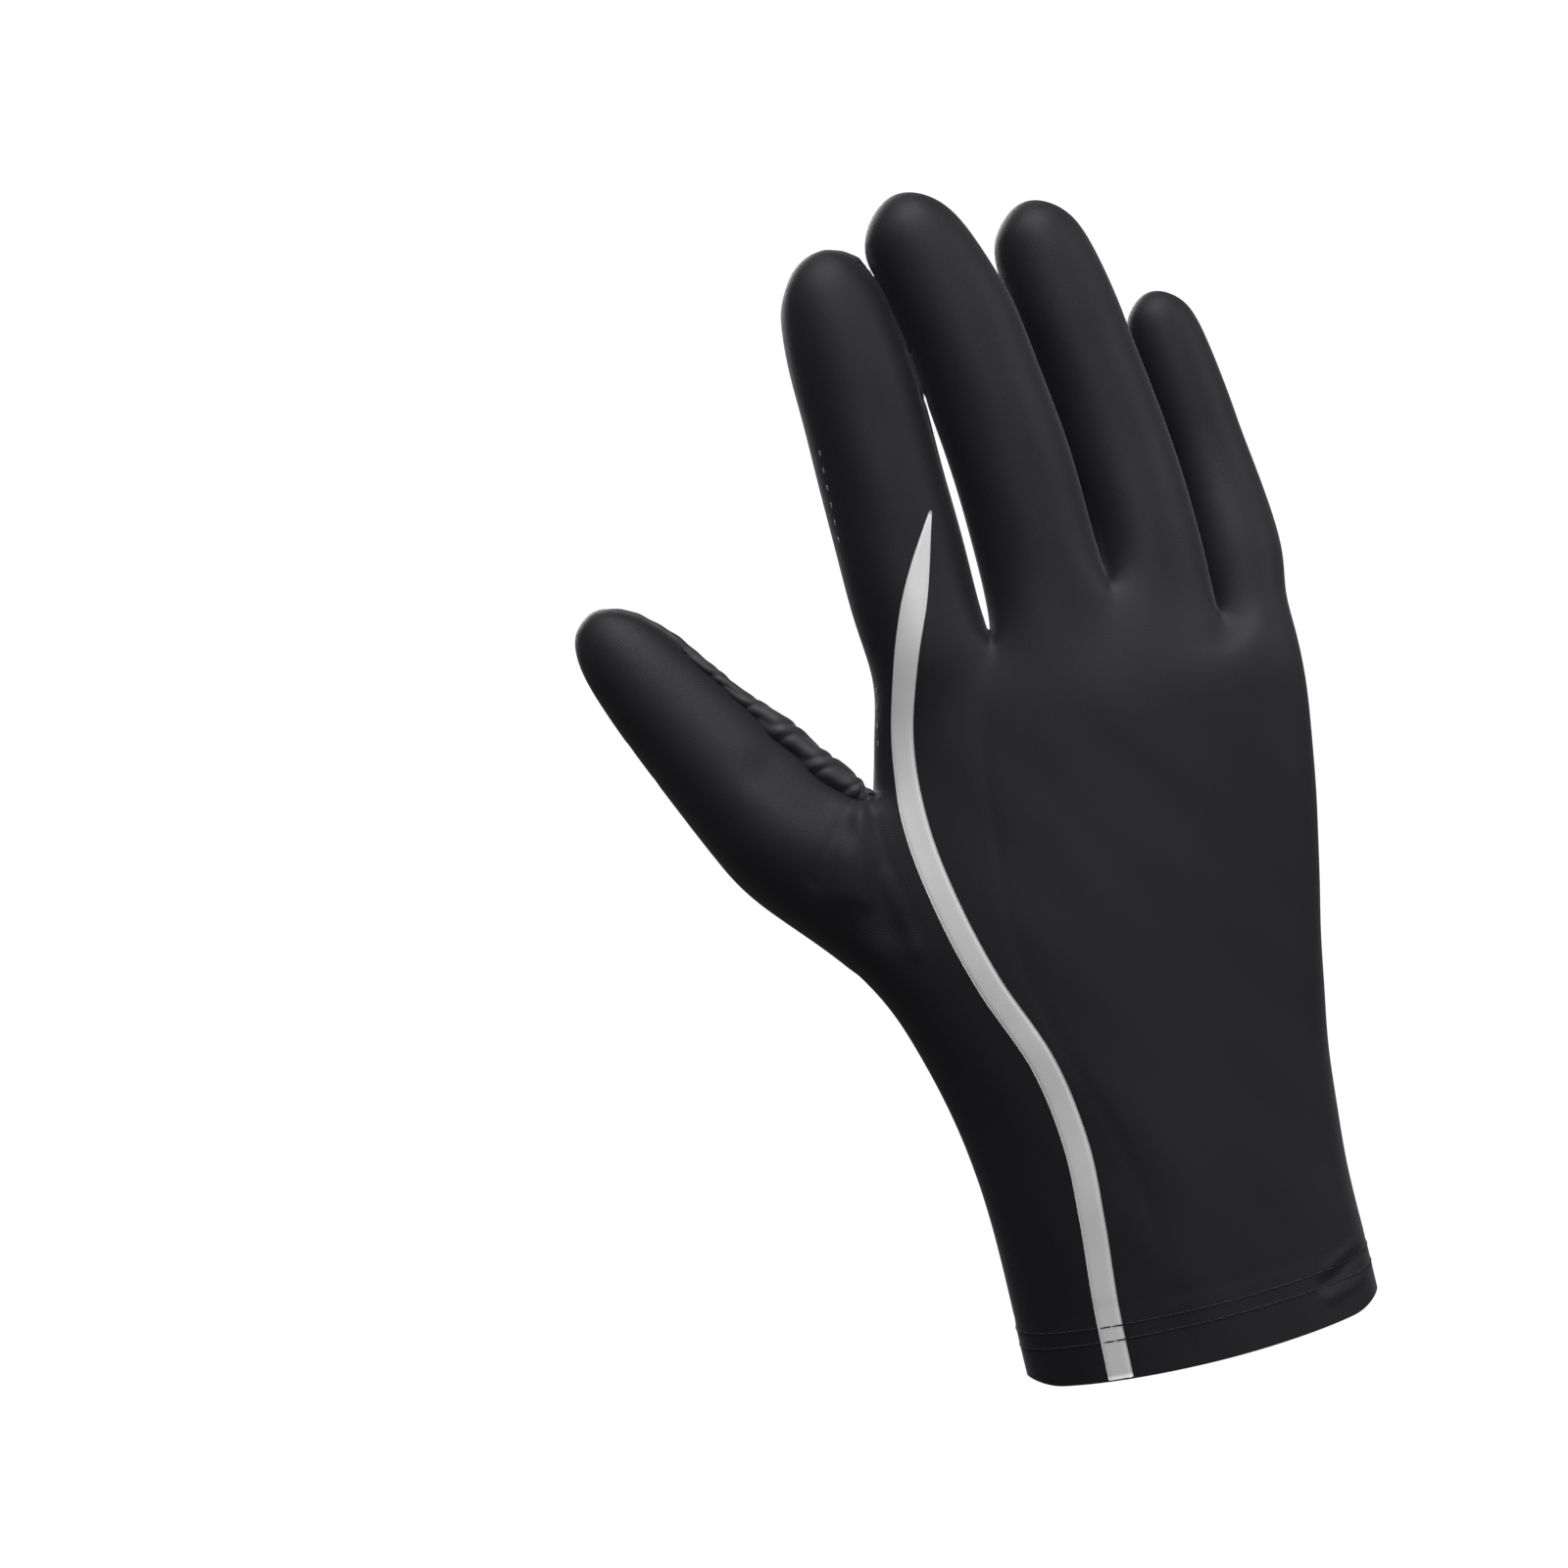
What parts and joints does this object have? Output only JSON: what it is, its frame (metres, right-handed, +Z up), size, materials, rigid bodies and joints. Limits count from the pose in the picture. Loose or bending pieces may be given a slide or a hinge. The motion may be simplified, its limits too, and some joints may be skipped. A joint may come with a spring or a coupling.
{
  "type": "sun protection glove",
  "caption": "Thin stretch right-hand glove with flip-back fingertip openings on the index finger and thumb, a hemmed cuff and a reflective stripe down the back.",
  "frame": {"origin": "middle of the wrist opening, level with the cuff's edge, where the hand goes in", "axes": "+Z up the hand to the fingertips, -Y out of the back of the hand, -X to the thumb's side"},
  "size_m": [0.1371, 0.0415, 0.2292],
  "materials": {
    "stretch_knit": "matte near-black fine stretch knit with a soft sheen",
    "folded_hem": "the same knit folded double and stitched",
    "reflective_tape": "silver-grey satin reflective tape"
  },
  "bodies": {
    "root": {"palm_panel": "stretch_knit", "side_panel": "stretch_knit", "back_panel": "stretch_knit", "thumb_panel": "stretch_knit", "cuff_hem": "folded_hem", "index_opening_hem": "folded_hem", "thumb_opening_hem": "folded_hem", "reflective_stripe": "reflective_tape"}
  },
  "joints": []
}
